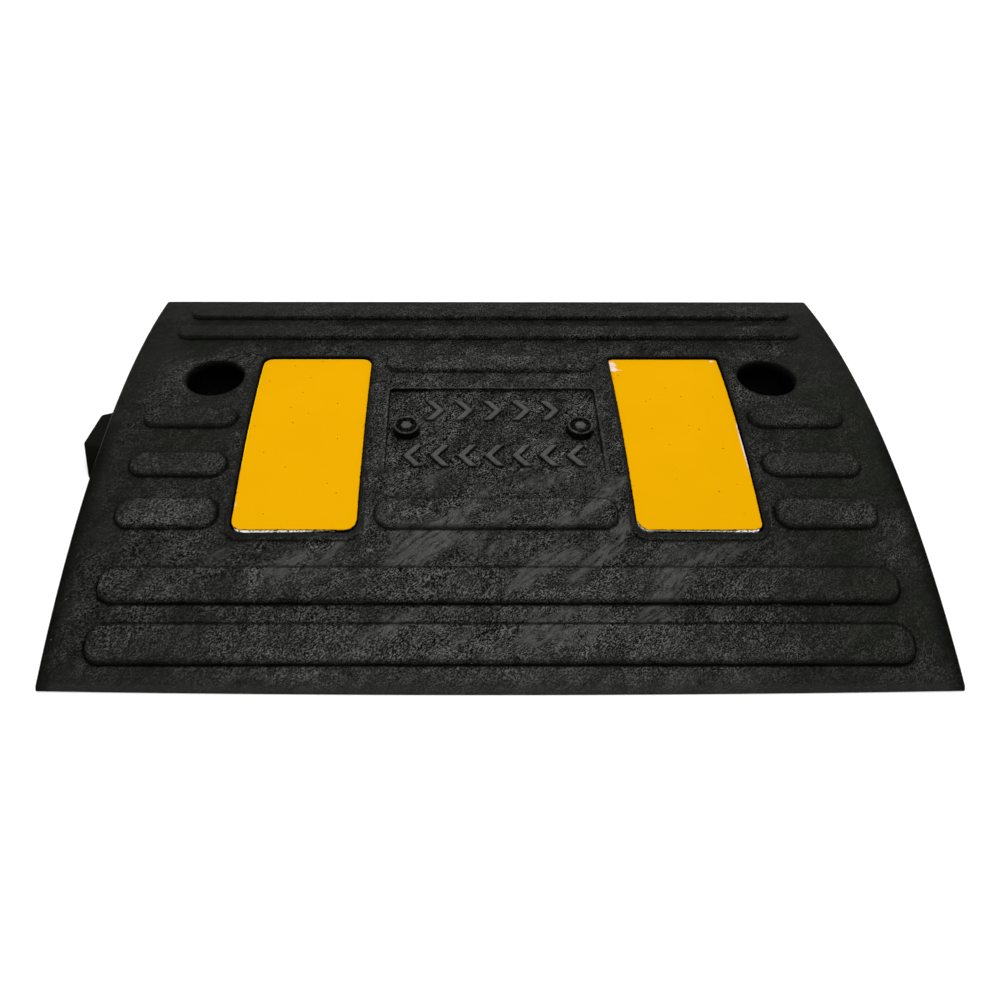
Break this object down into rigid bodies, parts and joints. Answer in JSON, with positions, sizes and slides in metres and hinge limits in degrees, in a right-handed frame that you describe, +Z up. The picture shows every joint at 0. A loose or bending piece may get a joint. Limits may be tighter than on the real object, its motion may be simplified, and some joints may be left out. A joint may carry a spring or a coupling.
{
  "type": "rubber speed bump",
  "caption": "Domed black rubber road hump unit with raised tread ribs, inset yellow reflective panels, counterbored bolt holes and a tongue-and-socket interlock.",
  "frame": {"origin": "middle of the flat underside of the rubber moulding, on the road", "axes": "+Z up from the road; +X along the hump's length, from the tongue end to the socket end; traffic crosses along Y, and the bolt holes are on the +Y side"},
  "size_m": [0.5172, 0.3424, 0.03],
  "materials": {
    "recycled_rubber": "matt, with a pressed crumb texture",
    "reflective_film": "smooth yellow reflective film",
    "backing": "white adhesive backing",
    "washer_steel": "zinc plated, moulded into the rubber"
  },
  "bodies": {
    "root": {"rubber_body": "recycled_rubber", "reflector_film_left": "reflective_film", "reflector_film_right": "reflective_film", "reflector_backing_left": "backing", "reflector_backing_right": "backing", "bolt_seat_washer_left": "washer_steel", "bolt_seat_washer_right": "washer_steel"}
  },
  "joints": []
}
